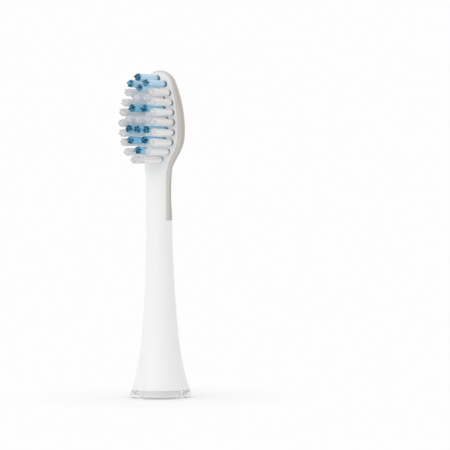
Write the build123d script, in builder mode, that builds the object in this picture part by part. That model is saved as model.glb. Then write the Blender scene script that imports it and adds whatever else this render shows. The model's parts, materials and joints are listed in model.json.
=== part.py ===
from build123d import *
import os
from math import atan2, cos, hypot, radians, sin, sqrt, tan

# Replacement head of a sonic toothbrush, in millimetres, standing on its base as it does on a shelf.
# The origin is the centre of the base, +Z runs up the stem, the bristles point to -Y.

# Heights along the stem, each measured from the feature below it
ring_height = 2.1
stem_length = 41.45
sleeve_length = 12.95
straight_length = 1.4
crown_height = 15.6

# Stem and skirt
foot_radius = 7.1
waist_radius = 4.6
waist_height = 12.4
neck_radius = 3.2

# Flare from the neck to the head, a straight slope with a bend at each end
flare_angle = 27.0
flare_bend = 2.4
flare_round = 10.0
flare_over = 0.2

# Outline of the head, seen from the front
head_half_width = 6.6
crown_radius = 4.3
rim_width = 1.5
rim_width_top = 0.8
plate_crown_radius = 3.5
strip_half_width = 2.64
plate_flare_delay = 0.6

# Depths of the head, along Y
plate_y = -0.4
rim_step = 0.8
core_back_y = 2.8
back_y = 5.0
side_draft = 15.8
back_round = 2.5
back_bevels = 1
bend_round = 12.0
face_over = 0.35
ramp_before_flare = 3.9
ramp_length = 8.1
swell_length = 8.0
sleeve_lip = 0.4
sleeve_wall = 0.5

# Clear ring under the skirt
ring_radius = 7.85
ring_bulge_height = 0.55
ring_foot_radius = 6.95
spigot_height = 1.8
spigot_wall = 0.6
skirt_wall = 0.7
spigot_clearance = 0.05

# Socket for the drive shaft, and the hollow of the skirt under it
hollow_radius = 4.3
socket_z = 8.0
socket_sides = 6
socket_radius = 3.1
socket_length = 18.0
socket_roof = 1.2
socket_clearance = 0.04
shaft_radius = 2.0
guide_length = 7.0
key_step = 0.2
key_flat_y = 1.45

# Bowed leaf that grips the flat of the shaft
clip_thickness = 0.25
clip_width = 2.0
clip_bow = 0.35
clip_end_gap = 0.6
clip_slot_depth = 0.65
clip_slot_clearance = 0.1

# Tufts, in holes with flat sides
tuft_sides = 6
hole_radius = 0.75
hole_floor_y = 2.0
tuft_clearance = 0.04
tuft_length = 10.4
rim_tuft_count = 19
rim_tuft_margin = 1.1
rim_tuft_margin_top = 1.5
rim_tuft_low_rise = 1.5
rim_tuft_wide_rise = 10.0
first_row_drop = 2.4
last_row_rise = 2.5
inner_rows = [(0,), (-1.2, 1.2), (-1.5, 1.5), (-2.2, 0, 2.2), (-2.2, 0, 2.2), (-1.75, 1.75), (0,)]

# Blades that hold the tufts
anchor_width = 1.3
anchor_thickness = 0.25
anchor_height = 0.9

# Cleaning nubs, ring mark and wiping bars on the soft back
nub_sides = 4
nub_radius = 0.34
nub_height = 0.4
nub_root = 0.3
nub_pitch_x = 1.88
nub_pitch_z = 0.955
nub_margin = 2.5
nub_low_rise = 1.9
mark_sides = 12
mark_rise = 0.4
mark_radius = 1.5
mark_ridge = 0.5
mark_gap = 0.7
mark_clear = 1.9
bar_rise = 1.2
bar_pitch = 1.95
bar_count = 3
bar_width = 3.75
bar_thickness = 0.63
bump_drop = 0.9

# Places worked out from the above
sleeve_z = ring_height + stem_length
flare_z = sleeve_z + sleeve_length
flare_slope = tan(radians(flare_angle))
flare_reach = head_half_width + flare_over
flare_top_z = flare_z + (flare_reach - neck_radius) / flare_slope
crown_z = flare_top_z + straight_length
top_z = crown_z + crown_height
ramp_z = flare_z - ramp_before_flare
plate_half_width = head_half_width - rim_width
plate_top_z = top_z - rim_width_top
rim_y = plate_y + rim_step
lip_y = sleeve_lip - sqrt(neck_radius**2 - strip_half_width**2)
draft_slope = tan(radians(side_draft))


def flare_corners(inset):
    """Half the section of neck and flare, set in by a wall: both bends are flattened to half the slope."""
    angle = radians(flare_angle)
    low = [
        (neck_radius, sleeve_z),
        (neck_radius, flare_z - flare_bend),
        (neck_radius + flare_bend * sin(angle), flare_z + flare_bend * cos(angle)),
    ]
    middle_x = (neck_radius + flare_reach) / 2
    middle_z = (flare_z + flare_top_z) / 2
    high = [(2 * middle_x - x, 2 * middle_z - z) for x, z in reversed(low[1:])]
    return [(x - inset, z) for x, z in low + high + [(flare_reach, top_z + flare_over)]]


def flare_radius(z):
    """Radius of the neck, the flare and the wide end above it at a height."""
    corners = flare_corners(0)
    for (low_x, low_z), (high_x, high_z) in zip(corners, corners[1:]):
        if z <= high_z:
            return low_x + (high_x - low_x) * (z - low_z) / (high_z - low_z)
    return flare_reach


def back_surface_y(z):
    """Depth of the middle of the soft back at a height."""
    slope = (back_y - neck_radius - face_over) / swell_length
    return min(flare_radius(z), back_y, neck_radius + face_over + max(z - flare_z, 0) * slope)


def back_levels():
    """Depth and inset of each edge round the back: a drafted side, then bevels that turn it to flat."""
    centre_y = back_y - back_round
    step = radians(90 - side_draft) / (back_bevels + 1)
    corner_radius = back_round / cos(step / 2)
    angles = [radians(side_draft) + (i + 0.5) * step for i in range(back_bevels + 1)]
    side_inset = (centre_y + corner_radius * sin(angles[0]) - rim_y) * draft_slope
    insets = [side_inset + corner_radius * (cos(angles[0]) - cos(angle)) for angle in angles]
    depths = [centre_y + corner_radius * sin(angle) for angle in angles]
    return [(lip_y, (lip_y - rim_y) * draft_slope)] + list(zip(depths, insets))


def side_radius(half_width, height, end_radius):
    """Radius of the side arcs that are upright at the widest level and run into the end arc."""
    rise = height - end_radius
    return (half_width**2 + rise**2 - end_radius**2) / (2 * (half_width - end_radius))


def crown_points(half_width, top, end_radius):
    """Points of the crown's outline: right end, mid right arc, join, top, and the mirror of each."""
    radius = side_radius(half_width, top - crown_z, end_radius)
    centre_x = half_width - radius
    turn = atan2(top - end_radius - crown_z, -centre_x)
    middle = (centre_x + radius * cos(turn / 2), crown_z + radius * sin(turn / 2))
    join = (centre_x + radius * cos(turn), crown_z + radius * sin(turn))
    right = [(half_width, crown_z), middle, join]
    return right + [(0, top)] + [(-x, z) for x, z in reversed(right)]


def crown_half_width(z):
    """Half the width of the head at a height in the crown or just under it."""
    rise = max(z - crown_z, 0)
    radius = side_radius(head_half_width, crown_height, crown_radius)
    if z <= crown_points(head_half_width, top_z, crown_radius)[2][1]:
        return head_half_width - radius + sqrt(radius**2 - rise**2)
    return sqrt(max(crown_radius**2 - (z - top_z + crown_radius) ** 2, 0))


os.makedirs("parts", exist_ok=True)

# Limit of the soft back: round about the neck, then flaring to wider than the head
with BuildPart() as soft_reach:
    with BuildSketch(Plane.XZ):
        with BuildLine():
            right = flare_corners(0)
            Polyline(*right, (0, right[-1][1]), (0, sleeve_z), close=True)
        make_face()
    revolve(axis=Axis.Z)

# Limit of the white core: level with the soft back in front, one sleeve wall inside it behind
with BuildPart() as core_reach:
    with BuildSketch(Plane.XZ):
        with BuildLine():
            right = flare_corners(sleeve_wall)
            Polyline(*right, (0, right[-1][1]), (0, sleeve_z), close=True)
        make_face()
    revolve(axis=Axis.Z, revolution_arc=180)
    with BuildSketch(Plane.XZ):
        with BuildLine():
            left = [(-x, z) for x, z in flare_corners(0)]
            Polyline(*left, (0, left[-1][1]), (0, sleeve_z), close=True)
        make_face()
    revolve(axis=Axis.Z, revolution_arc=180)

# White plate with the strip down the front of the neck: the hard core inside the soft back
with BuildPart() as plate_core:
    with BuildSketch(Plane.XZ.offset(-core_back_y)):
        with BuildLine():
            plate_flare_z = flare_z + plate_flare_delay
            plate_wide_z = plate_flare_z + (plate_half_width - strip_half_width) / flare_slope
            side = [
                (strip_half_width, sleeve_z),
                (strip_half_width, plate_flare_z),
                (plate_half_width, plate_wide_z),
                (plate_half_width, crown_z),
            ]
            FilletPolyline(*side, radius=flare_round)
            FilletPolyline(*[(-x, z) for x, z in side], radius=flare_round)
            right_end, right_mid, right_join, top, *left = crown_points(
                plate_half_width, plate_top_z, plate_crown_radius
            )
            ThreePointArc(right_end, right_mid, right_join)
            ThreePointArc(right_join, top, left[0])
            ThreePointArc(*left)
            Line((-strip_half_width, sleeve_z), (strip_half_width, sleeve_z))
        make_face()
    extrude(amount=core_back_y + neck_radius + face_over)
    with BuildSketch(Plane.YZ):
        with BuildLine():
            front = [
                (-neck_radius - face_over, sleeve_z),
                (-neck_radius - face_over, ramp_z),
                (plate_y, ramp_z + ramp_length),
                (plate_y, top_z),
            ]
            FilletPolyline(*front, radius=bend_round)
            Polyline(front[-1], (core_back_y, top_z), (core_back_y, sleeve_z), front[0])
        make_face()
    extrude(amount=head_half_width, both=True, mode=Mode.INTERSECT)
    add(core_reach.part, mode=Mode.INTERSECT)

# Places of the tufts: a ring round the edge of the plate, then rows inside it
rim_low_z = flare_z + rim_tuft_low_rise
rim_wide_z = flare_z + rim_tuft_wide_rise
with BuildLine(Plane.XZ, mode=Mode.PRIVATE) as rim_line:
    ring_half_width = plate_half_width - rim_tuft_margin
    ring_rise = plate_top_z - rim_tuft_margin_top - rim_wide_z
    ring_fall = rim_wide_z - rim_low_z
    ring_centre = (0, rim_wide_z)
    EllipticalCenterArc(ring_centre, ring_half_width, ring_rise, start_angle=90, arc_size=90)
    EllipticalCenterArc(ring_centre, ring_half_width, ring_fall, start_angle=180, arc_size=180)
    EllipticalCenterArc(ring_centre, ring_half_width, ring_rise, start_angle=0, arc_size=90)
rim_wire = rim_line.wire()
rim_spots = [rim_wire @ (i / rim_tuft_count) for i in range(rim_tuft_count)]
first_row_z = rim_wide_z + ring_rise - first_row_drop
last_row_z = rim_low_z + last_row_rise
row_pitch = (first_row_z - last_row_z) / (len(inner_rows) - 1)
inner_spots = [
    Vector(x, 0, first_row_z - row * row_pitch) for row, places in enumerate(inner_rows) for x in places
]
tuft_spots = [(spot.X, spot.Z) for spot in rim_spots + inner_spots]

# White body: trumpet-shaped stem on a hollow skirt, with the plate core on top and a hole for each tuft
skirt_radius = foot_radius - skirt_wall
spigot_top_z = ring_height + spigot_height
with BuildPart() as brush_body:
    with BuildSketch(Plane.XZ):
        with BuildLine():
            foot = (foot_radius, ring_height)
            waist = (waist_radius, ring_height + waist_height)
            upper = TangentArc((neck_radius, sleeve_z), waist, tangent=(0, -1))
            TangentArc(waist, foot, tangent=upper % 1)
            Polyline(foot, (0, ring_height), (0, sleeve_z), (neck_radius, sleeve_z))
        make_face()
    revolve(axis=Axis.Z)
    with BuildSketch(Plane.XZ):
        with BuildLine():
            Polyline(
                (0, ring_height),
                (skirt_radius, ring_height),
                (skirt_radius, spigot_top_z),
                (hollow_radius, spigot_top_z),
                (hollow_radius, socket_z),
                (0, socket_z),
                close=True,
            )
        make_face()
    revolve(axis=Axis.Z, mode=Mode.SUBTRACT)
    with BuildSketch(Plane.XY.offset(socket_z)):
        RegularPolygon(socket_radius + socket_clearance, socket_sides)
    extrude(amount=socket_length, mode=Mode.SUBTRACT)
    add(plate_core.part)
    with BuildSketch(Plane.XZ.offset(-hole_floor_y)):
        with Locations(*tuft_spots):
            RegularPolygon(hole_radius, tuft_sides)
    extrude(amount=neck_radius + hole_floor_y, mode=Mode.SUBTRACT)
brush_body.part.label = "brush_body"
export_step(brush_body.part, "parts/brush_body.step")

# Places of the nubs: staggered rows kept inside the edge of the back, clear of the ring mark
nub_rows = []
mark_z = crown_z + mark_rise
nub_row_count = int((top_z - nub_margin - flare_z - nub_low_rise) / nub_pitch_z) + 1
for row in range(nub_row_count):
    z = top_z - nub_margin - row * nub_pitch_z
    reach = min(crown_half_width(z), flare_radius(z)) - nub_margin
    columns = [(column + (row % 2) / 2) * nub_pitch_x for column in range(-3, 4)]
    places = [x for x in columns if abs(x) <= reach and hypot(x, z - mark_z) > mark_clear]
    nub_rows.append((z, places))

# Heights of the wiping bars below the nubs, and of the bumps beside the gaps between them
bar_heights = [flare_z + bar_rise - i * bar_pitch for i in range(bar_count)]
bump_heights = [z - bump_drop for z in bar_heights[:-1]]

# Soft back: one grey moulding round the back of the neck, the sides and the back of the head
with BuildPart() as soft_back:
    for y, inset in back_levels():
        with BuildSketch(Plane.XZ.offset(-y)):
            with BuildLine():
                right_end, right_mid, right_join, top, *left = crown_points(
                    head_half_width - inset, top_z - inset, crown_radius - inset
                )
                ThreePointArc(right_end, right_mid, right_join)
                ThreePointArc(right_join, top, left[0])
                ThreePointArc(*left)
                Polyline(left[-1], (left[-1][0], ring_height), (right_end[0], ring_height), right_end)
            make_face()
    loft(ruled=True)
    with BuildSketch(Plane.YZ):
        with BuildLine():
            front = [
                (lip_y, sleeve_z),
                (lip_y, ramp_z),
                (rim_y, ramp_z + ramp_length),
                (rim_y, top_z),
            ]
            back = [
                (neck_radius + face_over, sleeve_z),
                (neck_radius + face_over, flare_z),
                (back_y, flare_z + swell_length),
                (back_y, top_z),
            ]
            FilletPolyline(*front, radius=bend_round)
            FilletPolyline(*back, radius=bend_round)
            Line(front[0], back[0])
            Line(front[-1], back[-1])
        make_face()
    extrude(amount=flare_reach, both=True, mode=Mode.INTERSECT)
    add(soft_reach.part, mode=Mode.INTERSECT)
    add(plate_core.part, mode=Mode.SUBTRACT)
    for z, places in nub_rows:
        with BuildSketch(Plane.XZ.offset(-back_surface_y(z) - nub_height)):
            with Locations(*[(x, z) for x in places]):
                RegularPolygon(nub_radius, nub_sides)
        extrude(amount=nub_height + nub_root)
    with BuildSketch(Plane.XZ.offset(-back_y - nub_height)):
        with Locations((0, mark_z)):
            RegularPolygon(mark_radius, mark_sides)
            RegularPolygon(mark_radius - mark_ridge, mark_sides, mode=Mode.SUBTRACT)
            Rectangle(2 * mark_radius, mark_gap, mode=Mode.SUBTRACT)
    extrude(amount=nub_height + nub_root)
    for z in bar_heights:
        with BuildSketch(Plane.XY.offset(z - bar_thickness / 2)):
            Circle(back_surface_y(z) + nub_height)
            with Locations((0, core_back_y)):
                Rectangle(bar_width, back_y, align=(Align.CENTER, Align.MIN), mode=Mode.INTERSECT)
        extrude(amount=bar_thickness)
    for z in bump_heights:
        bump_y = sqrt(flare_radius(z) ** 2 - nub_pitch_x**2)
        with BuildSketch(Plane.XZ.offset(-bump_y - nub_height)):
            with Locations((-nub_pitch_x, z), (nub_pitch_x, z)):
                RegularPolygon(nub_radius, nub_sides)
        extrude(amount=nub_height + nub_root)
soft_back.part.label = "soft_back"
export_step(soft_back.part, "parts/soft_back.step")

# Clear ring: carries on the flare of the skirt, stands on a narrow foot, and plugs into the skirt
spigot_radius = skirt_radius - spigot_clearance
with BuildPart() as base_ring:
    with BuildSketch(Plane.XZ):
        with BuildLine():
            Polyline(
                (ring_foot_radius, 0),
                (ring_radius, ring_bulge_height),
                (foot_radius, ring_height),
                (spigot_radius, ring_height),
                (spigot_radius, spigot_top_z),
                (spigot_radius - spigot_wall, spigot_top_z),
                (spigot_radius - spigot_wall, 0),
                close=True,
            )
        make_face()
    revolve(axis=Axis.Z)
base_ring.part.label = "base_ring"
export_step(base_ring.part, "parts/base_ring.step")

# Drive socket: six-sided insert that can't turn in the stem, with a round guide at its mouth, then a
# narrower bore with a flat and a slot for the clip
key_z = socket_z + guide_length
bore_top_z = socket_z + socket_length - socket_roof
with BuildPart() as drive_socket:
    with BuildSketch(Plane.XY.offset(socket_z)):
        RegularPolygon(socket_radius, socket_sides)
    extrude(amount=socket_length)
    with BuildSketch(Plane.XY.offset(socket_z)):
        Circle(shaft_radius)
    extrude(amount=guide_length, mode=Mode.SUBTRACT)
    with BuildSketch(Plane.XY.offset(key_z)):
        Circle(shaft_radius - key_step)
        with Locations((0, key_flat_y)):
            Rectangle(
                2 * shaft_radius, shaft_radius, align=(Align.CENTER, Align.MIN), mode=Mode.SUBTRACT
            )
        with Locations((0, key_flat_y)):
            slot_width = clip_width + 2 * clip_slot_clearance
            Rectangle(slot_width, clip_slot_depth, align=(Align.CENTER, Align.MIN))
    extrude(amount=bore_top_z - key_z, mode=Mode.SUBTRACT)
drive_socket.part.label = "drive_socket"
export_step(drive_socket.part, "parts/drive_socket.step")

# Shaft clip: a strip of spring steel, bowed towards the shaft, with both ends on the floor of its slot
clip_floor_y = key_flat_y + clip_slot_depth
clip_low_z = key_z + clip_end_gap
clip_high_z = bore_top_z - clip_end_gap
clip_mid_z = (clip_low_z + clip_high_z) / 2
with BuildPart() as shaft_clip:
    with BuildSketch(Plane.YZ):
        with BuildLine():
            outer = ThreePointArc(
                (clip_floor_y, clip_low_z),
                (clip_floor_y - clip_bow, clip_mid_z),
                (clip_floor_y, clip_high_z),
            )
            inner_y = clip_floor_y - clip_thickness
            inner_arc = ThreePointArc(
                (inner_y, clip_low_z), (inner_y - clip_bow, clip_mid_z), (inner_y, clip_high_z)
            )
            Line(outer @ 0, inner_arc @ 0)
            Line(outer @ 1, inner_arc @ 1)
        make_face()
    extrude(amount=clip_width / 2, both=True)
shaft_clip.part.label = "shaft_clip"
export_step(shaft_clip.part, "parts/shaft_clip.step")

# Tuft anchors: a flat blade standing on the floor of each hole, with the tuft folded over it
with BuildPart() as tuft_anchors:
    with Locations(*[(x, hole_floor_y, z) for x, z in tuft_spots]):
        Box(anchor_width, anchor_height, anchor_thickness, align=(Align.CENTER, Align.MAX, Align.CENTER))
tuft_anchors.part.label = "tuft_anchors"
export_step(tuft_anchors.part, "parts/tuft_anchors.step")

# Tufts: bundles that fill their holes, each folded over its blade
tuft_foot_y = hole_floor_y - anchor_height
tuft_names = [f"rim_tuft_{i + 1:02d}" for i in range(len(rim_spots))]
tuft_names += [f"inner_tuft_{i + 1:02d}" for i in range(len(inner_spots))]
for name, (x, z) in zip(tuft_names, tuft_spots):
    with BuildPart() as tuft:
        with BuildSketch(Plane.XZ.offset(-tuft_foot_y)):
            with Locations((x, z)):
                RegularPolygon(hole_radius - tuft_clearance, tuft_sides)
        extrude(amount=tuft_foot_y - plate_y + tuft_length)
    tuft.part.label = name
    export_step(tuft.part, f"parts/{name}.step")
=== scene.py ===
import json
import math
import random

import bmesh
import bpy
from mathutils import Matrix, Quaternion, Vector


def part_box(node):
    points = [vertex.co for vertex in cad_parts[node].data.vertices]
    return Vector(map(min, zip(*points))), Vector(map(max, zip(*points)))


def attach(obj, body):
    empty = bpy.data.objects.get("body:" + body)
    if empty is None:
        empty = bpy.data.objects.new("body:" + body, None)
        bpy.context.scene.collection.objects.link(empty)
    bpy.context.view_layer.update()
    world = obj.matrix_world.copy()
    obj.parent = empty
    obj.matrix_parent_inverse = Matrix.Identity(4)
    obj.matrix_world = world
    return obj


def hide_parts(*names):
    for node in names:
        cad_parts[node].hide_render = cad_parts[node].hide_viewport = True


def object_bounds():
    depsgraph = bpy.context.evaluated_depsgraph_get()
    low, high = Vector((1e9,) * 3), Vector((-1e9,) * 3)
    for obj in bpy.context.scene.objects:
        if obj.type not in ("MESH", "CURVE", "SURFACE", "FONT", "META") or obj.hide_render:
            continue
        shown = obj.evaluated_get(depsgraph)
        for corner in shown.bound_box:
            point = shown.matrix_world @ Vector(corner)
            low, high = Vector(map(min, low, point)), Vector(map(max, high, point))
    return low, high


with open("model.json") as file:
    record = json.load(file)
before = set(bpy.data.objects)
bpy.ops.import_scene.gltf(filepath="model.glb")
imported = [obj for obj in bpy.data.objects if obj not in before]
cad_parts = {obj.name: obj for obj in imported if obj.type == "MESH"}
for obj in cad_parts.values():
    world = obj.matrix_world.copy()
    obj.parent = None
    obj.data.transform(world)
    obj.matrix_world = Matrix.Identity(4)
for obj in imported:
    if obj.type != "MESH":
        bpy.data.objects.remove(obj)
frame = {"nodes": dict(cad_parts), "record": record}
cad_low, cad_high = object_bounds()
nodes = frame["nodes"]
mm = 0.001

# The head stands on its base as the shelf holds it: +Z runs up the stem and the bristles point to -Y.
# Every piece is still, so all of them ride on the one body that the frame has.


# White stem, skirt and bristle plate
# One injection moulding in glossy white polypropylene. The mould leaves a faint orange-peel skin and
# flow marks that only show in the way the light breaks over the trumpet of the skirt.
def shader_group(name, inputs, outputs):
    """An empty shader node group with its inputs and outputs, ready for its nodes."""
    group = bpy.data.node_groups.new(name, "ShaderNodeTree")
    for socket, kind, value in inputs:
        group.interface.new_socket(socket, in_out="INPUT", socket_type=kind).default_value = value
    for socket, kind in outputs:
        group.interface.new_socket(socket, in_out="OUTPUT", socket_type=kind)
    start = group.nodes.new("NodeGroupInput")
    end = group.nodes.new("NodeGroupOutput")
    return group, start, end


def wire(tree, *links):
    """Links each output to the input beside it."""
    for source, target in links:
        tree.links.new(source, target)


def add_node(tree, kind, **values):
    """A new node with its plain settings."""
    node = tree.nodes.new(kind)
    for key, value in values.items():
        setattr(node, key, value)
    return node


def add_group(tree, group, **values):
    """A placed node group, with the values of its inputs."""
    node = add_node(tree, "ShaderNodeGroup", node_tree=group)
    for key, value in values.items():
        node.inputs[key.replace("_", " ")].default_value = value
    return node


def moulded_skin_group():
    """Fine skin of a moulding: colour drifts a little, gloss varies, and the surface has shallow peel."""
    group, start, end = shader_group(
        "moulded_skin",
        [
            ("Color", "NodeSocketColor", (0.8, 0.8, 0.8, 1)),
            ("Tint", "NodeSocketColor", (0.7, 0.7, 0.7, 1)),
            ("Drift", "NodeSocketFloat", 0.2),
            ("Gloss Low", "NodeSocketFloat", 0.3),
            ("Gloss High", "NodeSocketFloat", 0.4),
            ("Peel Scale", "NodeSocketFloat", 900.0),
            ("Peel Height", "NodeSocketFloat", 0.05),
        ],
        [("Color", "NodeSocketColor"), ("Roughness", "NodeSocketFloat"), ("Normal", "NodeSocketVector")],
    )
    place = add_node(group, "ShaderNodeTexCoord")
    flow = add_node(group, "ShaderNodeTexNoise")
    flow.inputs["Scale"].default_value = 90.0
    flow.inputs["Detail"].default_value = 4.0
    drift = add_node(group, "ShaderNodeMath", operation="MULTIPLY")
    colour = add_node(group, "ShaderNodeMix", data_type="RGBA")
    peel = add_node(group, "ShaderNodeTexNoise")
    peel.inputs["Detail"].default_value = 3.0
    gloss = add_node(group, "ShaderNodeMapRange")
    bump = add_node(group, "ShaderNodeBump")
    bump.inputs["Distance"].default_value = 0.1 * mm
    wire(
        group,
        (place.outputs["Object"], flow.inputs["Vector"]),
        (place.outputs["Object"], peel.inputs["Vector"]),
        (start.outputs["Peel Scale"], peel.inputs["Scale"]),
        (flow.outputs["Fac"], drift.inputs[0]),
        (start.outputs["Drift"], drift.inputs[1]),
        (drift.outputs[0], colour.inputs["Factor"]),
        (start.outputs["Color"], colour.inputs["A"]),
        (start.outputs["Tint"], colour.inputs["B"]),
        (flow.outputs["Fac"], gloss.inputs["Value"]),
        (start.outputs["Gloss Low"], gloss.inputs["To Min"]),
        (start.outputs["Gloss High"], gloss.inputs["To Max"]),
        (peel.outputs["Fac"], bump.inputs["Height"]),
        (start.outputs["Peel Height"], bump.inputs["Strength"]),
        (colour.outputs["Result"], end.inputs["Color"]),
        (gloss.outputs["Result"], end.inputs["Roughness"]),
        (bump.outputs["Normal"], end.inputs["Normal"]),
    )
    return group


moulded_skin = moulded_skin_group()


def new_material(name):
    """An empty material, with its node tree and its plain shader."""
    material = bpy.data.materials.new(name)
    material.use_nodes = True
    return material, material.node_tree, material.node_tree.nodes["Principled BSDF"]


def moulded_material(name, colour, tint, drift, gloss, peel_scale, peel_height):
    """A moulded plastic: the shared skin feeds colour, roughness and normal of a plain shader."""
    material, tree, shader = new_material(name)
    skin = add_group(
        tree, moulded_skin, Color=(*colour, 1), Tint=(*tint, 1), Drift=drift,
        Gloss_Low=gloss[0], Gloss_High=gloss[1], Peel_Scale=peel_scale, Peel_Height=peel_height,
    )
    wire(
        tree,
        (skin.outputs["Color"], shader.inputs["Base Color"]),
        (skin.outputs["Roughness"], shader.inputs["Roughness"]),
        (skin.outputs["Normal"], shader.inputs["Normal"]),
    )
    return material, shader


def finish_node(name, material):
    """Gives a solid of the frame its finish in place of the plain one it came with."""
    nodes[name].data.materials.clear()
    nodes[name].data.materials.append(material)


white_plastic, white_shader = moulded_material(
    "white_plastic", (0.86, 0.86, 0.86), (0.80, 0.80, 0.81), 0.35, (0.28, 0.38), 1400.0, 0.06
)
white_shader.inputs["IOR"].default_value = 1.49
white_shader.inputs["Subsurface Weight"].default_value = 0.12
white_shader.inputs["Subsurface Radius"].default_value = (1.0, 0.95, 0.9)
white_shader.inputs["Subsurface Scale"].default_value = 0.6 * mm
finish_node("brush_body", white_plastic)


# Clear ring under the skirt
# Ring moulded in clear styrene plastic. It carries on the flare of the skirt and stands on a narrow foot.
# Its spigot plugs into the skirt, and the skin of the mould leaves it very slightly frosted.
def pass_light(tree, shader, share):
    """Lets a share of the light pass on to other surfaces, while the viewer sees the shader itself."""
    rays = add_node(tree, "ShaderNodeLightPath")
    lit = add_node(tree, "ShaderNodeMath", operation="MAXIMUM")
    passed = add_node(tree, "ShaderNodeMath", operation="MULTIPLY")
    passed.inputs[1].default_value = share
    through = add_node(tree, "ShaderNodeBsdfTransparent")
    mix = add_node(tree, "ShaderNodeMixShader")
    wire(
        tree,
        (rays.outputs["Is Shadow Ray"], lit.inputs[0]),
        (rays.outputs["Is Diffuse Ray"], lit.inputs[1]),
        (lit.outputs[0], passed.inputs[0]),
        (passed.outputs[0], mix.inputs["Fac"]),
        (shader.outputs[0], mix.inputs[1]),
        (through.outputs[0], mix.inputs[2]),
        (mix.outputs[0], tree.nodes["Material Output"].inputs["Surface"]),
    )


clear_plastic, clear_shader = moulded_material(
    "clear_plastic", (0.95, 0.955, 0.955), (0.86, 0.87, 0.875), 0.5, (0.04, 0.12), 700.0, 0.08
)
clear_shader.inputs["Transmission Weight"].default_value = 0.75
clear_shader.inputs["IOR"].default_value = 1.5
pass_light(clear_plastic.node_tree, clear_shader, share=1.0)
finish_node("base_ring", clear_plastic)

# Socket for the drive shaft
# Six-sided insert in cream acetal, with the bore for the shaft of the handle down its middle. It is
# moulded by itself and pressed up into the stem, so only its mouth shows, from below.
socket_plastic = moulded_material(
    "socket_plastic", (0.72, 0.70, 0.64), (0.64, 0.62, 0.56), 0.5, (0.38, 0.5), 1100.0, 0.1
)[0]
finish_node("drive_socket", socket_plastic)


# Spring leaf in the socket and blades in the tuft holes
# Strip steel, bent and hardened, and small stamped blades in brass that are driven in with the tufts.
# Rolling leaves fine streaks along the strip.
def rolled_metal(name, colour, tint, gloss):
    """Thin rolled strip: fine streaks change both the colour and the gloss along one direction."""
    material, tree, shader = new_material(name)
    shader.inputs["Metallic"].default_value = 1.0
    place = add_node(tree, "ShaderNodeTexCoord")
    stretch = add_node(tree, "ShaderNodeMapping")
    stretch.inputs["Scale"].default_value = (9000.0, 9000.0, 300.0)
    streaks = add_node(tree, "ShaderNodeTexNoise")
    streaks.inputs["Scale"].default_value = 1.0
    colours = add_node(tree, "ShaderNodeMix", data_type="RGBA")
    colours.inputs["A"].default_value = (*colour, 1)
    colours.inputs["B"].default_value = (*tint, 1)
    polish = add_node(tree, "ShaderNodeMapRange")
    polish.inputs["To Min"].default_value = gloss[0]
    polish.inputs["To Max"].default_value = gloss[1]
    wire(
        tree,
        (place.outputs["Object"], stretch.inputs["Vector"]),
        (stretch.outputs["Vector"], streaks.inputs["Vector"]),
        (streaks.outputs["Fac"], colours.inputs["Factor"]),
        (colours.outputs["Result"], shader.inputs["Base Color"]),
        (streaks.outputs["Fac"], polish.inputs["Value"]),
        (polish.outputs["Result"], shader.inputs["Roughness"]),
    )
    return material


spring_steel = rolled_metal("spring_steel", (0.62, 0.62, 0.62), (0.45, 0.45, 0.46), (0.22, 0.4))
anchor_brass = rolled_metal("anchor_brass", (0.72, 0.56, 0.28), (0.6, 0.45, 0.2), (0.25, 0.45))
finish_node("shaft_clip", spring_steel)
finish_node("tuft_anchors", anchor_brass)

# Soft back
# Warm grey thermoplastic elastomer, moulded over the white core in a second shot. The tool is spark
# eroded, so the skin is dull and very finely grained, and every edge is rounded over by hand polishing.
soft_grey, soft_shader = moulded_material(
    "soft_grey", (0.49, 0.455, 0.41), (0.44, 0.405, 0.365), 0.4, (0.5, 0.62), 4200.0, 0.16
)
soft_tree = soft_grey.node_tree
soft_skin = soft_shader.inputs["Base Color"].links[0].from_socket
# Painted shade: a dark tint laid over the skin between the nubs and deep in the hollow of the split ring
painted_shade_share = add_node(soft_tree, "ShaderNodeAttribute", attribute_name="painted_shade_share")
painted_shade_tint = add_node(soft_tree, "ShaderNodeMix", data_type="RGBA")
painted_shade_tint.inputs["B"].default_value = (0.2, 0.185, 0.165, 1)
# Painted highlight: a paler tint on the rim's front and on the tops of the nubs, ring arcs and bars
painted_light_share = add_node(soft_tree, "ShaderNodeAttribute", attribute_name="painted_light_share")
painted_light_tint = add_node(soft_tree, "ShaderNodeMix", data_type="RGBA")
painted_light_tint.inputs["B"].default_value = (0.63, 0.61, 0.58, 1)
wire(
    soft_tree,
    (painted_shade_share.outputs["Fac"], painted_shade_tint.inputs["Factor"]),
    (soft_skin, painted_shade_tint.inputs["A"]),
    (painted_light_share.outputs["Fac"], painted_light_tint.inputs["Factor"]),
    (painted_shade_tint.outputs["Result"], painted_light_tint.inputs["A"]),
    (painted_light_tint.outputs["Result"], soft_shader.inputs["Base Color"]),
)
soft_shader.inputs["IOR"].default_value = 1.45
soft_shader.inputs["Sheen Weight"].default_value = 0.12
soft_shader.inputs["Sheen Roughness"].default_value = 0.5

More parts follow.
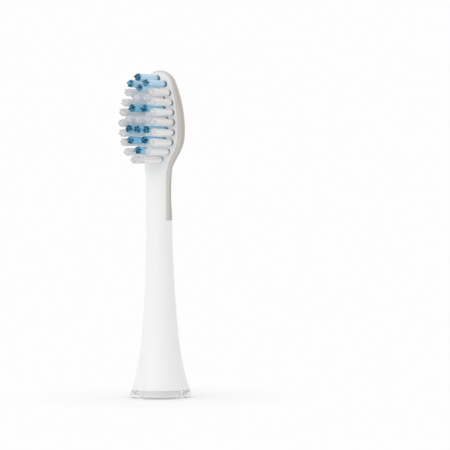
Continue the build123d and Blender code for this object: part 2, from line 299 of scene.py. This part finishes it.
# Sizes of the soft back in millimetres, and the shares of painted shade and painted light on its skin
sleeve_z = 43.55
flare_z = 56.5
crown_z = 64.965
top_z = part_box("soft_back")[1].z / mm
head_outline = (6.6, top_z, 4.25)
plate_outline = (5.1, top_z - 0.8, 3.5)
strip_half_width = 2.64
strip_flare_z = (flare_z + 0.6, flare_z + 5.43)
strip_bend = 1.15
neck_radius = 3.2
flare_slope = math.tan(math.radians(30))
flare_bend = 0.8
neck_slim = 0.1
neck_shift = 0.3
slim_rise_z = (sleeve_z + 1, sleeve_z + 5)
slim_rise_bend = 1.5
slim_fall_z = (flare_z - 5, flare_z - 1)
slim_fall_bend = 1.0
rim_y = 0.4
lip_y = -1.41
ramp_z = (52.6, 60.7)
ramp_bend = 2.5
sleeve_back_y = neck_radius + 0.1
neck_back_y = neck_radius - 0.3
sleeve_taper_z = (sleeve_z + 1, sleeve_z + 7)
sleeve_taper_bend = 2.0
back_y = 5.0
swell_z = (flare_z, 64.5)
swell_bend = 3.0
side_draft = 0.33
draft_y = rim_y + 0.95
draft_bend = 1.2
side_lean = 0.962
bevel_inset = 0.85
bevel_drop = 1.0
bevel_lean = (0.603, 0.797)
bevel_round = 0.55
back_round = 0.5
lip_round = 0.4
neck_round = 0.3
flare_round = 0.85
flare_round_z = (flare_z + 2.5, flare_z + 5)
flare_round_bend = 1.0
mark_z = crown_z + 0.4
mark_radius = 1.3
mark_hollow = 0.4
mark_spread = 0.5
# Painted highlight on the rim: full over this length from the plate's edge, fading out over the next
rim_front = 0.7
rim_fade = 0.8
field_margin = 1.6
field_fade = 0.9
field_low_z = flare_z - 4
field_low_fade = 0.8
field_shade = 0.28
mark_shade_spread = 0.7
# Painted highlight on the tops of the lumps, and painted shade round their feet
lump_top_light = 0.6
lump_foot_shade = 0.45


def clamped(share):
    """A share held between none and all."""
    return min(max(share, 0.0), 1.0)


def soft_ramp(rise, width):
    """Zero below the bend and the rise itself above it, with the bend rounded over a width."""
    return (rise + math.hypot(rise, width)) / 2


def soft_step(z, low_z, high_z, low, high, width):
    """A level, a straight slope and a second level, with both bends rounded."""
    slope = (high - low) / (high_z - low_z)
    return low + slope * (soft_ramp(z - low_z, width) - soft_ramp(z - high_z, width))


def soft_max(a, b, width):
    """The larger of two distances, rounded where they are alike: it turns an edge into a fillet."""
    return (a + b + math.hypot(a - b, width)) / 2


def outline_distance(x, z, outline):
    """Distance from an egg-shaped outline, below zero inside: side arcs that run into an end arc."""
    half_width, top, end_radius = outline
    if z <= crown_z:
        return abs(x) - half_width
    rise = top - crown_z - end_radius
    side_radius = (half_width**2 + rise**2 - end_radius**2) / (2 * (half_width - end_radius))
    centre_x = half_width - side_radius
    if math.atan2(z - crown_z, abs(x) - centre_x) < math.atan2(rise, -centre_x):
        return math.hypot(abs(x) - centre_x, z - crown_z) - side_radius
    return math.hypot(x, z - top + end_radius) - end_radius


def flare_width(z):
    """Half the width of the neck and of the flare above it."""
    return neck_radius + flare_slope * soft_ramp(z - flare_z, flare_bend)


def front_depth(z):
    """Depth of the rim's front, which follows the ramp of the white plate."""
    return soft_step(z, *ramp_z, lip_y, rim_y, ramp_bend)


def back_depth(z):
    """Depth of the back: a slight taper along the sleeve, and the swell behind the head."""
    flat = soft_step(z, *sleeve_taper_z, sleeve_back_y, neck_back_y, sleeve_taper_bend)
    return flat + soft_step(z, *swell_z, 0, back_y - neck_back_y, swell_bend)


def plate_edge(x, z):
    """Distance from the edge of the white plate and of the strip that runs down from it."""
    half_width = soft_step(z, *strip_flare_z, strip_half_width, plate_outline[0], strip_bend)
    return max(outline_distance(x, z, plate_outline), abs(x) - half_width)


def neck_distance(x, y, z):
    """Distance from the round neck and its flare, slimmed a little along the sleeve."""
    risen = soft_step(z, *slim_rise_z, 0, 1, slim_rise_bend)
    slim = risen - soft_step(z, *slim_fall_z, 0, 1, slim_fall_bend)
    return math.hypot(x, y + neck_shift * slim) - flare_width(z) + neck_slim * slim


def cover_distance(x, y, z):
    """Distance from the skin of the soft back, below zero inside."""
    outside = outline_distance(x, z, head_outline)
    side = (outside + side_draft * soft_ramp(y - draft_y, draft_bend)) * side_lean
    bevel = (outside + bevel_inset) * bevel_lean[0] + (y - back_y + bevel_drop) * bevel_lean[1]
    hollow = mark_hollow * math.exp(-(x**2 + (z - mark_z) ** 2) / mark_spread)
    body = soft_max(soft_max(side, bevel, bevel_round), y - back_depth(z) + hollow, back_round)
    corner = soft_step(z, *flare_round_z, neck_round, flare_round, flare_round_bend)
    body = soft_max(body, neck_distance(x, y, z), corner)
    return soft_max(body, front_depth(z) - y, lip_round)


def reach(distance, limit, halvings=26):
    """How far a ray runs before the distance along it turns positive, found by halving."""
    low, high = 0.0, limit
    for step in range(halvings):
        middle = (low + high) / 2
        if distance(middle) > 0:
            high = middle
        else:
            low = middle
    return low


# Layout of the skin: points along each cut, number of cuts, and how deep it is closed inside
rim_points = 6
side_points = 22
side_turn = 0.3
side_crowding = 1.5
back_points = 30
inner_points = 10
side_cuts = 70
crown_cuts = 60
edge_overlap = 0.15
rim_probe = 0.5
plate_reach = 30
skin_reach = 40
core_back_y = 2.8
core_cover = 0.5
inner_gap = 0.1
inner_front = 0.3


def cover_profile(spine_z, turn):
    """Points round one cut of the soft back, from the plate's edge over the rim and side to the spine."""
    across, up = math.cos(turn), math.sin(turn)
    edge = reach(lambda r: plate_edge(r * across, spine_z + r * up), plate_reach) - edge_overlap
    front = front_depth(spine_z + edge * up)
    middle = (front + back_depth(spine_z)) / 2
    outer = reach(lambda r: cover_distance(r * across, front + rim_probe, spine_z + r * up), plate_reach)
    first = math.atan2(front - middle, edge)
    corner = math.atan2(front - middle, outer)
    angles = [first + (corner - first) * i / rim_points for i in range(rim_points)]
    angles += [
        corner + (side_turn - corner) * (i / side_points) ** side_crowding for i in range(side_points)
    ]
    angles += [side_turn + (math.pi / 2 - side_turn) * i / back_points for i in range(back_points + 1)]
    points = []
    for angle in angles:
        along, deep = math.cos(angle), math.sin(angle)
        length = reach(
            lambda r: cover_distance(r * along * across, middle + r * deep, spine_z + r * along * up),
            skin_reach,
        )
        points.append((length * along * across, middle + length * deep, spine_z + length * along * up))
    inner_y = min(core_back_y, flare_width(spine_z) - core_cover) - inner_gap
    inner_low = front + inner_front
    for i in range(inner_points):
        angle = math.pi / 2 * (1 - i / inner_points)
        along = edge * math.sqrt(math.cos(angle))
        deep = inner_low + (inner_y - inner_low) * math.sqrt(math.sin(angle))
        points.append((along * across, deep, spine_z + along * up))
    return points


def field_depth(x, z):
    """How far a place on the back lies inside the outline of the head and the flare."""
    return -max(outline_distance(x, z, head_outline), abs(x) - flare_width(z))


def hollow_shade(x, y, z):
    """How far a place of the skin lies in shade: a little between the nubs, deeply in the split ring."""
    if y < core_back_y:
        return 0.0
    field = clamped((field_depth(x, z) - field_margin) / field_fade)
    field *= clamped((z - field_low_z) / field_low_fade)
    return max(field_shade * field, math.exp(-((x**2 + (z - mark_z) ** 2) / mark_shade_spread) ** 2))


def cover_skin(mesh):
    """The soft back as one closed skin: cuts up one side, fanned round the crown, and down the other."""
    heights = [sleeve_z + (crown_z - sleeve_z) * i / side_cuts for i in range(side_cuts)]
    cuts = [(z, 0.0) for z in heights]
    cuts += [(crown_z, math.pi * i / crown_cuts) for i in range(crown_cuts + 1)]
    cuts += [(z, math.pi) for z in reversed(heights)]
    share, shade = mesh.verts.layers.float["painted_light_share"], mesh.verts.layers.float["painted_shade_share"]
    rings = []
    for spine_z, turn in cuts:
        points = [Vector(point) for point in cover_profile(spine_z, turn)]
        ring = [mesh.verts.new(point * mm) for point in points]
        run = 0.0
        for point, after, vert in zip(points, points[1:], ring):
            # Painted light on the rim's front, and painted shade between the nubs and in the split ring
            vert[share] = clamped(1 - (run - rim_front) / rim_fade)
            vert[shade] = hollow_shade(*point)
            run += (after - point).length
        rings.append(ring)
    for low, high in zip(rings, rings[1:]):
        for i in range(len(low)):
            after = (i + 1) % len(low)
            mesh.faces.new((low[i], low[after], high[after], high[i]))
    mesh.faces.new(rings[0])
    mesh.faces.new(list(reversed(rings[-1])))


# Nubs, split ring and bars that stand on the back, in millimetres
back_probe_y = 2.0
back_reach = 10
nub_radius = 0.44
nub_height = 0.5
nub_sides = 12
nub_pitch_x = 1.88
nub_pitch_z = 0.955
nub_columns = 3
nub_top_drop = 2.5
nub_low_rise = 1.9
nub_margin = 2.3
nub_margin_top = 1.65
nub_top_zone = 6
nub_flush_margin = 0.9
nub_rise_margin = 1.4
nub_profile = ((1.12, -0.5), (1.0, 0.15), (0.88, 0.52), (0.6, 0.84), (0.25, 0.98))
nub_lit = 1.1
mark_clear = 0.6
mark_arc = 64
mark_steps = 8
mark_rib = (0.3, 0.5)
mark_rib_end = 0.45
rib_sides = 10
bar_count = 3
bar_rise = 1.2
bar_pitch = 1.95
bar_width = 3.5
bar_steps = 16
bar_rib = (0.42, 0.55)
bar_waist = 0.72
bar_end = 0.4
bump_x = 1.88
bump_drop = 0.95
bump_radius = 0.42
bump_height = 0.46


def skin_depth(x, z):
    """Depth of the soft back's skin at a place on its back."""
    return back_probe_y + reach(lambda r: cover_distance(x, back_probe_y + r, z), back_reach)


def bridge(mesh, loops):
    """Smooth faces from each loop of points to the next."""
    for low, high in zip(loops, loops[1:]):
        for i in range(len(low)):
            after = (i + 1) % len(low)
            mesh.faces.new((low[i], high[i], high[after], low[after])).smooth = True


def raise_lump(mesh, rings, tops):
    """Closes rings of places into a lump on the skin, with its top lit and its foot in shade."""
    share, shade = mesh.verts.layers.float["painted_light_share"], mesh.verts.layers.float["painted_shade_share"]
    loops = []
    for ring, ring_tops in zip(rings, tops):
        loop = [mesh.verts.new(Vector(place) * mm) for place in ring]
        for vert, top in zip(loop, ring_tops):
            # Painted highlight on the lump's top and painted shade round its foot
            vert[share] = lump_top_light * clamped(top)
            vert[shade] = lump_foot_shade * (1 - clamped(top))
        loops.append(loop)
    bridge(mesh, loops)
    mesh.faces.new(loops[0])
    mesh.faces.new(list(reversed(loops[-1])))


def add_dome(mesh, x, z, radius, height):
    """A low rounded nub that follows the skin under it, with its foot sunk in."""
    rings, tops = [], []
    for wide, tall in nub_profile:
        ring = []
        for i in range(nub_sides):
            turn = math.tau * i / nub_sides
            across, up = x + math.cos(turn) * radius * wide, z + math.sin(turn) * radius * wide
            ring.append((across, skin_depth(across, up) + tall * height, up))
        rings.append(ring)
        tops.append([tall * nub_lit] * nub_sides)
    raise_lump(mesh, rings, tops)


def add_rib(mesh, path, radius, height, swells):
    """A rounded rib that follows a path of places on the skin, swelling and narrowing along it."""
    turns = [math.tau * j / rib_sides for j in range(rib_sides)]
    rings, tops = [], []
    for i, ((x, z), swell) in enumerate(zip(path, swells)):
        before, after = path[max(i - 1, 0)], path[min(i + 1, len(path) - 1)]
        ahead = Vector((after[0] - before[0], after[1] - before[1])).normalized()
        y = skin_depth(x, z)
        asides = [math.cos(t) * radius * swell for t in turns]
        lifts = [math.sin(t) * height * swell for t in turns]
        rings.append([(x + ahead.y * a, y + lift, z - ahead.x * a) for a, lift in zip(asides, lifts)])
        tops.append([lift / height for lift in lifts])
    raise_lump(mesh, rings, tops)


def add_nubs(mesh):
    """Cleaning nubs in staggered rows over the back of the head, lower near the edge of their field."""
    rows = int((top_z - nub_top_drop - flare_z - nub_low_rise) / nub_pitch_z) + 1
    for row in range(rows):
        z = top_z - nub_top_drop - row * nub_pitch_z
        margin = nub_margin_top if z > top_z - nub_top_zone else nub_margin
        for column in range(-nub_columns, nub_columns + 1):
            x = (column + (row % 2) / 2) * nub_pitch_x
            inside = field_depth(x, z)
            if inside > margin and math.hypot(x, z - mark_z) > mark_radius + mark_clear:
                rise = min((inside - nub_flush_margin) / nub_rise_margin, 1)
                add_dome(mesh, x, z, nub_radius, nub_height * rise)


def add_split_ring(mesh):
    """The ring among the nubs, in four short arcs."""
    swells = [mark_rib_end] + [1.0] * (mark_steps - 1) + [mark_rib_end]
    for quarter in range(4):
        turns = [
            math.radians(90 * quarter + mark_arc * (i / mark_steps - 0.5)) for i in range(mark_steps + 1)
        ]
        path = [(mark_radius * math.cos(t), mark_z + mark_radius * math.sin(t)) for t in turns]
        add_rib(mesh, path, *mark_rib, swells)


def add_bars(mesh):
    """Wiping bars across the top of the sleeve, each with a waist, and bumps under all but the last."""
    waves = [abs(math.sin(math.tau * j / bar_steps)) for j in range(1, bar_steps)]
    swells = [bar_end] + [bar_waist + (1 - bar_waist) * wave for wave in waves] + [bar_end]
    for i in range(bar_count):
        z = flare_z + bar_rise - i * bar_pitch
        path = [(bar_width * (j / bar_steps - 0.5), z) for j in range(bar_steps + 1)]
        add_rib(mesh, path, *bar_rib, swells)
        if i < bar_count - 1:
            add_dome(mesh, -bump_x, z - bump_drop, bump_radius, bump_height)
            add_dome(mesh, bump_x, z - bump_drop, bump_radius, bump_height)


def add_object(name, data):
    """A new object in the scene for a mesh, a lamp or a lens."""
    item = bpy.data.objects.new(name, data)
    bpy.context.scene.collection.objects.link(item)
    return item


cover_mesh = bmesh.new()
cover_mesh.verts.layers.float.new("painted_light_share")
cover_mesh.verts.layers.float.new("painted_shade_share")
cover_skin(cover_mesh)
add_nubs(cover_mesh)
add_split_ring(cover_mesh)
add_bars(cover_mesh)
bmesh.ops.recalc_face_normals(cover_mesh, faces=cover_mesh.faces[:])
for face in cover_mesh.faces:
    face.smooth = True
cover_data = bpy.data.meshes.new("soft_cover")
cover_mesh.to_mesh(cover_data)
cover_mesh.free()
cover_data.materials.append(soft_grey)
cover = add_object("soft_cover", cover_data)
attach(cover, "root")
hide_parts("soft_back")

# Bristle tufts
# Each tuft is a bundle of nylon filaments, folded over its blade and punched into its hole, then trimmed
# and end-rounded. Blue tufts are tinted only lightly, but their cut ends gather the dye and look dark.
# Painted shadow darkens the roots of the tufts, and painted shade the tufts inside the field.
filament_radius = 0.13 * mm
filament_sides = 7
filament_pitch = 0.27 * mm
filament_profile = ((0, 1, 0), (0.5, 1, 0), (1, 1, 0), (1, 0.8, 0.06 * mm), (1, 0.35, 0.1 * mm))
bundle_radius = 0.7 * mm
bundle_swell = 1.4
swell_power = 0.6
bundle_ridges = 13
ridge_steps = 4
ridge_share = 0.08
bundle_profile = ((0, 1), (0.12, 1), (0.3, 1), (0.6, 1), (1, 1), (1.02, 0.9), (1.035, 0.6), (1.04, 0.2))
loose_length = 0.8 * mm
foot_spread = bundle_swell * 0.93
foot_sink = 0.1 * mm
tip_spread = 1.65
trim_room = 0.1 * mm
trim_scatter = 0.2 * mm
bend_scatter = 0.06 * mm
stray_share = 0.03
stray_bend = 4.0
lean_scatter = 0.07 * mm
lean_x = -0.2 * mm
upper_sway = 0.75 * mm
sway_z = (top_z - 6.6) * mm
sway_height = 2.3 * mm
splay_x = 0.1
splay_z = -0.005
field_z = (crown_z + 2) * mm
clump_count = 6
clump_reach = 0.68 * mm
clump_pull = 0.45
clump_scatter = 0.15
light_share = 0.8
tuft_tip_y = cad_low.y
plate_y = -0.4 * mm
root_y = plate_y - 0.1 * mm
shaded_inner_x = 0.3 * mm
shaded_rim_x = -1.0 * mm
ramp_root_z = (ramp_z[1] - 1) * mm
ramp_root_shade = 8.0
inner_top_z = (top_z - 6) * mm


def depth_mask_group():
    """Mask along the filaments: 1 at a given depth, fading to 0 over a given length either way."""
    group, start, end = shader_group(
        "depth_mask",
        [("Depth", "NodeSocketFloat", 0.0), ("Fade", "NodeSocketFloat", 0.5 * mm)],
        [("Mask", "NodeSocketFloat")],
    )
    place = add_node(group, "ShaderNodeTexCoord")
    split = add_node(group, "ShaderNodeSeparateXYZ")
    away = add_node(group, "ShaderNodeMath", operation="SUBTRACT")
    share = add_node(group, "ShaderNodeMath", operation="DIVIDE")
    mask = add_node(group, "ShaderNodeMapRange", interpolation_type="SMOOTHSTEP")
    mask.inputs["From Min"].default_value = 1.0
    mask.inputs["From Max"].default_value = 0.0
    wire(
        group,
        (place.outputs["Object"], split.inputs["Vector"]),
        (split.outputs["Y"], away.inputs[0]),
        (start.outputs["Depth"], away.inputs[1]),
        (away.outputs[0], share.inputs[0]),
        (start.outputs["Fade"], share.inputs[1]),
        (share.outputs[0], mask.inputs["Value"]),
        (mask.outputs["Result"], end.inputs["Mask"]),
    )
    return group


depth_mask = depth_mask_group()


def nylon_material(name, side, pale, end, tip, tip_fade, root, root_fade):
    """Translucent nylon: filaments differ a little, their ends gather the dye, and painted shadow darkens
    the roots.
    """
    material, tree, shader = new_material(name)
    shader.inputs["Roughness"].default_value = 0.35
    shader.inputs["IOR"].default_value = 1.53
    shader.inputs["Specular IOR Level"].default_value = 0.03
    shade = add_node(tree, "ShaderNodeAttribute", attribute_name="filament_shade")
    sides = add_node(tree, "ShaderNodeMix", data_type="RGBA")
    sides.inputs["A"].default_value = (*side, 1)
    sides.inputs["B"].default_value = (*pale, 1)
    ends = add_group(tree, depth_mask, Depth=tuft_tip_y + trim_scatter, Fade=tip_fade)
    dyed = add_node(tree, "ShaderNodeMapRange")
    dyed.inputs["From Min"].default_value = 0.9
    dyed.inputs["From Max"].default_value = 0.65
    dyed_ends = add_node(tree, "ShaderNodeMix", data_type="RGBA")
    dyed_ends.inputs["A"].default_value = (*end, 1)
    dyed_ends.inputs["B"].default_value = (*tip, 1)
    tips = add_node(tree, "ShaderNodeMix", data_type="RGBA")
    # Painted shadow of the holes: the roots darken towards the plate, as far as each tuft's root_shade
    # allows
    feet = add_group(tree, depth_mask, Depth=root_y, Fade=-root_fade)
    depth = add_node(tree, "ShaderNodeAttribute", attribute_name="root_shade")
    deep_feet = add_node(tree, "ShaderNodeMath", operation="MULTIPLY")
    roots = add_node(tree, "ShaderNodeMix", data_type="RGBA")
    roots.inputs["B"].default_value = (*root, 1)
    wire(
        tree,
        (shade.outputs["Fac"], sides.inputs["Factor"]),
        (sides.outputs["Result"], tips.inputs["A"]),
        (shade.outputs["Fac"], dyed.inputs["Value"]),
        (dyed.outputs["Result"], dyed_ends.inputs["Factor"]),
        (dyed_ends.outputs["Result"], tips.inputs["B"]),
        (ends.outputs["Mask"], tips.inputs["Factor"]),
        (tips.outputs["Result"], roots.inputs["A"]),
        (feet.outputs["Mask"], deep_feet.inputs[0]),
        (depth.outputs["Fac"], deep_feet.inputs[1]),
        (deep_feet.outputs[0], roots.inputs["Factor"]),
        (roots.outputs["Result"], shader.inputs["Base Color"]),
    )
    pass_light(tree, shader, light_share)
    return material


# Colours of the painted shadow at the roots, where the tufts go into their holes
white_root_shadow = (0.02, 0.02, 0.02)
blue_tip = (0.0, 0.045, 0.11)
blue_root_shadow = (0.0, 0.06, 0.15)
# Outer and inner copies of each nylon: the inner ones are darker and cooler, painted shade among the
# tufts
nylon = {
    ("bristle_white", "outer"): nylon_material(
        "outer_white_nylon", (0.76, 0.76, 0.76), (0.86, 0.86, 0.86),
        (0.74, 0.74, 0.75), (0.62, 0.62, 0.63), 0.5 * mm, white_root_shadow, 1.3 * mm,
    ),
    ("bristle_white", "inner"): nylon_material(
        "shaded_inner_white_nylon", (0.70, 0.73, 0.79), (0.76, 0.79, 0.86),
        (0.66, 0.69, 0.75), (0.55, 0.57, 0.61), 0.5 * mm, white_root_shadow, 1.3 * mm,
    ),
    ("bristle_blue", "outer"): nylon_material(
        "outer_blue_nylon", (0.46, 0.68, 0.85), (0.58, 0.78, 0.93),
        (0.16, 0.52, 0.72), blue_tip, 0.8 * mm, blue_root_shadow, 2.0 * mm,
    ),
    ("bristle_blue", "inner"): nylon_material(
        "shaded_inner_blue_nylon", (0.26, 0.61, 0.83), (0.33, 0.67, 0.88),
        (0.14, 0.5, 0.72), blue_tip, 0.8 * mm, blue_root_shadow, 2.0 * mm,
    ),
}


def bundle_places():
    """Centres of the filaments across a bundle, packed in rows set half a pitch apart."""
    places = []
    row_pitch = filament_pitch * math.sin(math.radians(60))
    rows = int(bundle_radius / row_pitch)
    for row in range(-rows, rows + 1):
        for column in range(-rows - 1, rows + 2):
            u, v = (column + (row % 2) / 2) * filament_pitch, row * row_pitch
            if math.hypot(u, v) <= bundle_radius - filament_radius:
                places.append((u, v))
    return places


def add_tube(mesh, rings, layers, shades):
    """Closes rings of places into a tube with a cap on its last ring, and marks its shades."""
    loops = []
    for ring in rings:
        loop = [mesh.verts.new(place) for place in ring]
        for i, vert in enumerate(loop):
            for layer, shade in zip(layers, shades(i)):
                vert[layer] = shade
        loops.append(loop)
    bridge(mesh, loops)
    mesh.faces.new(list(reversed(loops[-1]))).smooth = True


def aside(angle):
    """Direction at an angle round the line of a tuft, square to it."""
    return Vector((math.cos(angle), 0, math.sin(angle)))


def bundle_rings(root, tip):
    """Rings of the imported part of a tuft: a ridge for each outer filament, swelling towards the tip."""
    count = bundle_ridges * ridge_steps
    rings = []
    for share, width in bundle_profile:
        radius = bundle_radius * (1 + (bundle_swell - 1) * share**swell_power) * width
        centre = root.lerp(tip, share)
        ring = []
        for i in range(count):
            angle = math.tau * i / count
            ridge = 1 - ridge_share + ridge_share * abs(math.sin(bundle_ridges * angle / 2))
            ring.append(centre + aside(angle) * radius * ridge)
        rings.append(ring)
    return rings


def filament_rings(root, tip, bow):
    """Rings of one loose filament end, bowed a little and closed by a rounded end."""
    rings = []
    for share, width, past in filament_profile:
        centre = root.lerp(tip, share) + bow * share**2 - Vector((0, past, 0))
        angles = [math.tau * side / filament_sides for side in range(filament_sides)]
        rings.append([centre + aside(angle) * filament_radius * width for angle in angles])
    return rings


def make_tuft(node, slot, seed):
    """The tuft in one hole: a packed bundle, and the ends of its filaments opening out of it."""
    draw = random.Random(seed)
    low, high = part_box(node)
    centre_x, centre_z = (low.x + high.x) / 2, (low.z + high.z) / 2
    mesh = bmesh.new()
    names = ("filament_shade", "root_shade")
    for name in names:
        mesh.verts.layers.float.new(name)
    layers = [mesh.verts.layers.float[name] for name in names]
    inner = node.startswith("inner")
    # Painted shadow at the roots only on tufts right of these lines, much stronger where roots come out
    # of the ramp
    root_shade = 1.0 if centre_x > (shaded_inner_x if inner else shaded_rim_x) else 0.0
    if centre_z < ramp_root_z:
        root_shade *= ramp_root_shade
    # Tufts inside the field, below the top rows, take the copy with painted shade
    field = "inner" if inner and centre_z < inner_top_z else "outer"
    root = Vector((centre_x, high.y, centre_z))
    lean = Vector((draw.gauss(0, 1), 0, draw.gauss(0, 1))) * lean_scatter
    sway = upper_sway * math.exp(-(((centre_z - sway_z) / sway_height) ** 2))
    lean += Vector((lean_x + sway + centre_x * splay_x, 0, (centre_z - field_z) * splay_z))
    top = Vector((centre_x, low.y + loose_length, centre_z)) + lean
    streaks = [draw.random() for ridge in range(bundle_ridges)]
    add_tube(mesh, bundle_rings(root, top), layers, lambda i: (streaks[i // ridge_steps], root_shade))
    clump_turn = draw.uniform(0, math.tau)
    clump_shades = [draw.random() for clump in range(clump_count)]
    for u, v in bundle_places():
        clump = int((math.atan2(v, u) - clump_turn) % math.tau / math.tau * clump_count) % clump_count
        gathered = aside(clump_turn + (clump + 0.5) / clump_count * math.tau) * clump_reach
        shade = clamped(clump_shades[clump] + draw.uniform(-clump_scatter, clump_scatter))
        foot = top + Vector((u * foot_spread, foot_sink, v * foot_spread))
        trim = low.y + trim_room + draw.uniform(0, trim_scatter)
        spread = Vector((u, 0, v)) * tip_spread
        tip = Vector((top.x, trim, top.z)) + spread.lerp(gathered, clump_pull)
        bow = Vector((draw.gauss(0, 1), 0, draw.gauss(0, 1))) * bend_scatter
        if draw.random() < stray_share:
            bow *= stray_bend
        add_tube(mesh, filament_rings(foot, tip, bow), layers, lambda i: (shade, root_shade))
    data = bpy.data.meshes.new(f"filaments_{node}")
    mesh.to_mesh(data)
    mesh.free()
    data.materials.append(nylon[slot, field])
    piece = add_object(f"filaments_{node}", data)
    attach(piece, "root")
    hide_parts(node)


slots = {part["node"]: part["material_slot"] for part in frame["record"]["subparts"]}
for seed, node in enumerate(sorted(name for name in nodes if "_tuft_" in name)):
    make_tuft(node, slots[node], seed)

# Floor, light and camera
# A white sweep under a broad soft box, as a catalogue picture has it, with the view the photograph takes:
# the bristles face the viewer's left, and the lens is long and looks almost level.
floor_reach = 6.0
floor_white = (0.985, 0.985, 0.985, 1)
floor_corners = [(x * floor_reach, y * floor_reach, 0) for x, y in ((-1, -1), (1, -1), (1, 1), (-1, 1))]
floor_mesh = bpy.data.meshes.new("floor")
floor_mesh.from_pydata(floor_corners, [], [(0, 1, 2, 3)])
floor = add_object("floor", floor_mesh)


def shown_rays(tree):
    """A value of 1 for the rays that show a surface to the viewer, straight on or in gloss and glass."""
    rays = add_node(tree, "ShaderNodeLightPath")
    seen = add_node(tree, "ShaderNodeMath", operation="MAXIMUM")
    shown = add_node(tree, "ShaderNodeMath", operation="MAXIMUM")
    wire(
        tree,
        (rays.outputs["Is Camera Ray"], seen.inputs[0]),
        (rays.outputs["Is Transmission Ray"], seen.inputs[1]),
        (seen.outputs[0], shown.inputs[0]),
        (rays.outputs["Is Glossy Ray"], shown.inputs[1]),
    )
    return shown.outputs[0]


floor_paint, floor_tree, floor_shader = new_material("floor_paint")
floor_shader.inputs["Base Color"].default_value = (0.95, 0.95, 0.95, 1)
floor_shader.inputs["Roughness"].default_value = 0.9
floor_shader.inputs["Specular IOR Level"].default_value = 0.1
floor_glow = add_node(floor_tree, "ShaderNodeEmission")
floor_glow.inputs["Color"].default_value = floor_white
floor_place = add_node(floor_tree, "ShaderNodeTexCoord")
floor_distance = add_node(floor_tree, "ShaderNodeVectorMath", operation="LENGTH")
floor_fade = add_node(floor_tree, "ShaderNodeMapRange")
floor_fade.inputs["From Min"].default_value = 9 * mm
floor_fade.inputs["From Max"].default_value = 40 * mm
floor_fade.inputs["To Min"].default_value = 0.35
floor_fade.inputs["To Max"].default_value = 1.0
floor_share = add_node(floor_tree, "ShaderNodeMath", operation="MULTIPLY")
floor_mix = add_node(floor_tree, "ShaderNodeMixShader")
wire(
    floor_tree,
    (floor_place.outputs["Object"], floor_distance.inputs[0]),
    (floor_distance.outputs["Value"], floor_fade.inputs["Value"]),
    (shown_rays(floor_tree), floor_share.inputs[0]),
    (floor_fade.outputs["Result"], floor_share.inputs[1]),
    (floor_share.outputs[0], floor_mix.inputs["Fac"]),
    (floor_shader.outputs[0], floor_mix.inputs[1]),
    (floor_glow.outputs[0], floor_mix.inputs[2]),
    (floor_mix.outputs[0], floor_tree.nodes["Material Output"].inputs["Surface"]),
)
floor_mesh.materials.append(floor_paint)

world = bpy.data.worlds.new("studio")
bpy.context.scene.world = world
world.use_nodes = True
sky = world.node_tree
fill = sky.nodes["Background"]
fill.inputs["Color"].default_value = (1, 1, 1, 1)
fill.inputs["Strength"].default_value = 0.885
backdrop = add_node(sky, "ShaderNodeBackground")
backdrop.inputs["Color"].default_value = floor_white
backdrop.inputs["Strength"].default_value = 1.0
either = add_node(sky, "ShaderNodeMixShader")
wire(
    sky,
    (shown_rays(sky), either.inputs["Fac"]),
    (fill.outputs[0], either.inputs[1]),
    (backdrop.outputs[0], either.inputs[2]),
    (either.outputs[0], sky.nodes["World Output"].inputs["Surface"]),
)

key_azimuth = math.radians(-12)
key_elevation = math.radians(32)
key_distance = 0.9
key_height = 45 * mm
key_data = bpy.data.lights.new("key", "AREA")
key_data.size = 0.8
key_data.energy = 1.72
key_away = Vector((
    math.sin(key_azimuth) * math.cos(key_elevation),
    -math.cos(key_azimuth) * math.cos(key_elevation),
    math.sin(key_elevation),
))
key = add_object("key", key_data)
key.location = Vector((0, 0, key_height)) + key_away * key_distance
key.rotation_mode = "QUATERNION"
key.rotation_quaternion = (-key_away).to_track_quat("-Z", "Y")

image_size = 450
pixels_per_mm = 4.076
view_azimuth = math.radians(28)
view_distance = 0.7
view_height = 52 * mm
axis_pixel_x = 159.3
base_pixel_y = 397.1
view_roll = math.radians(0.45)
lens_data = bpy.data.cameras.new("camera")
lens_data.sensor_width = 36
lens_data.lens = lens_data.sensor_width * view_distance / (image_size / pixels_per_mm * mm)
camera = add_object("camera", lens_data)
right = Vector((math.cos(view_azimuth), math.sin(view_azimuth), 0))
back = Vector((math.sin(view_azimuth), -math.cos(view_azimuth), 0))
aim = right * (image_size / 2 - axis_pixel_x) / pixels_per_mm * mm
aim.z = (base_pixel_y - image_size / 2) / pixels_per_mm * mm
camera.location = back * view_distance + Vector((0, 0, view_height))
look = (aim - camera.location).to_track_quat("-Z", "Y")
camera.rotation_mode = "QUATERNION"
camera.rotation_quaternion = look @ Quaternion((0, 0, 1), -view_roll)
bpy.context.scene.camera = camera
bpy.context.scene.view_settings.view_transform = "Standard"
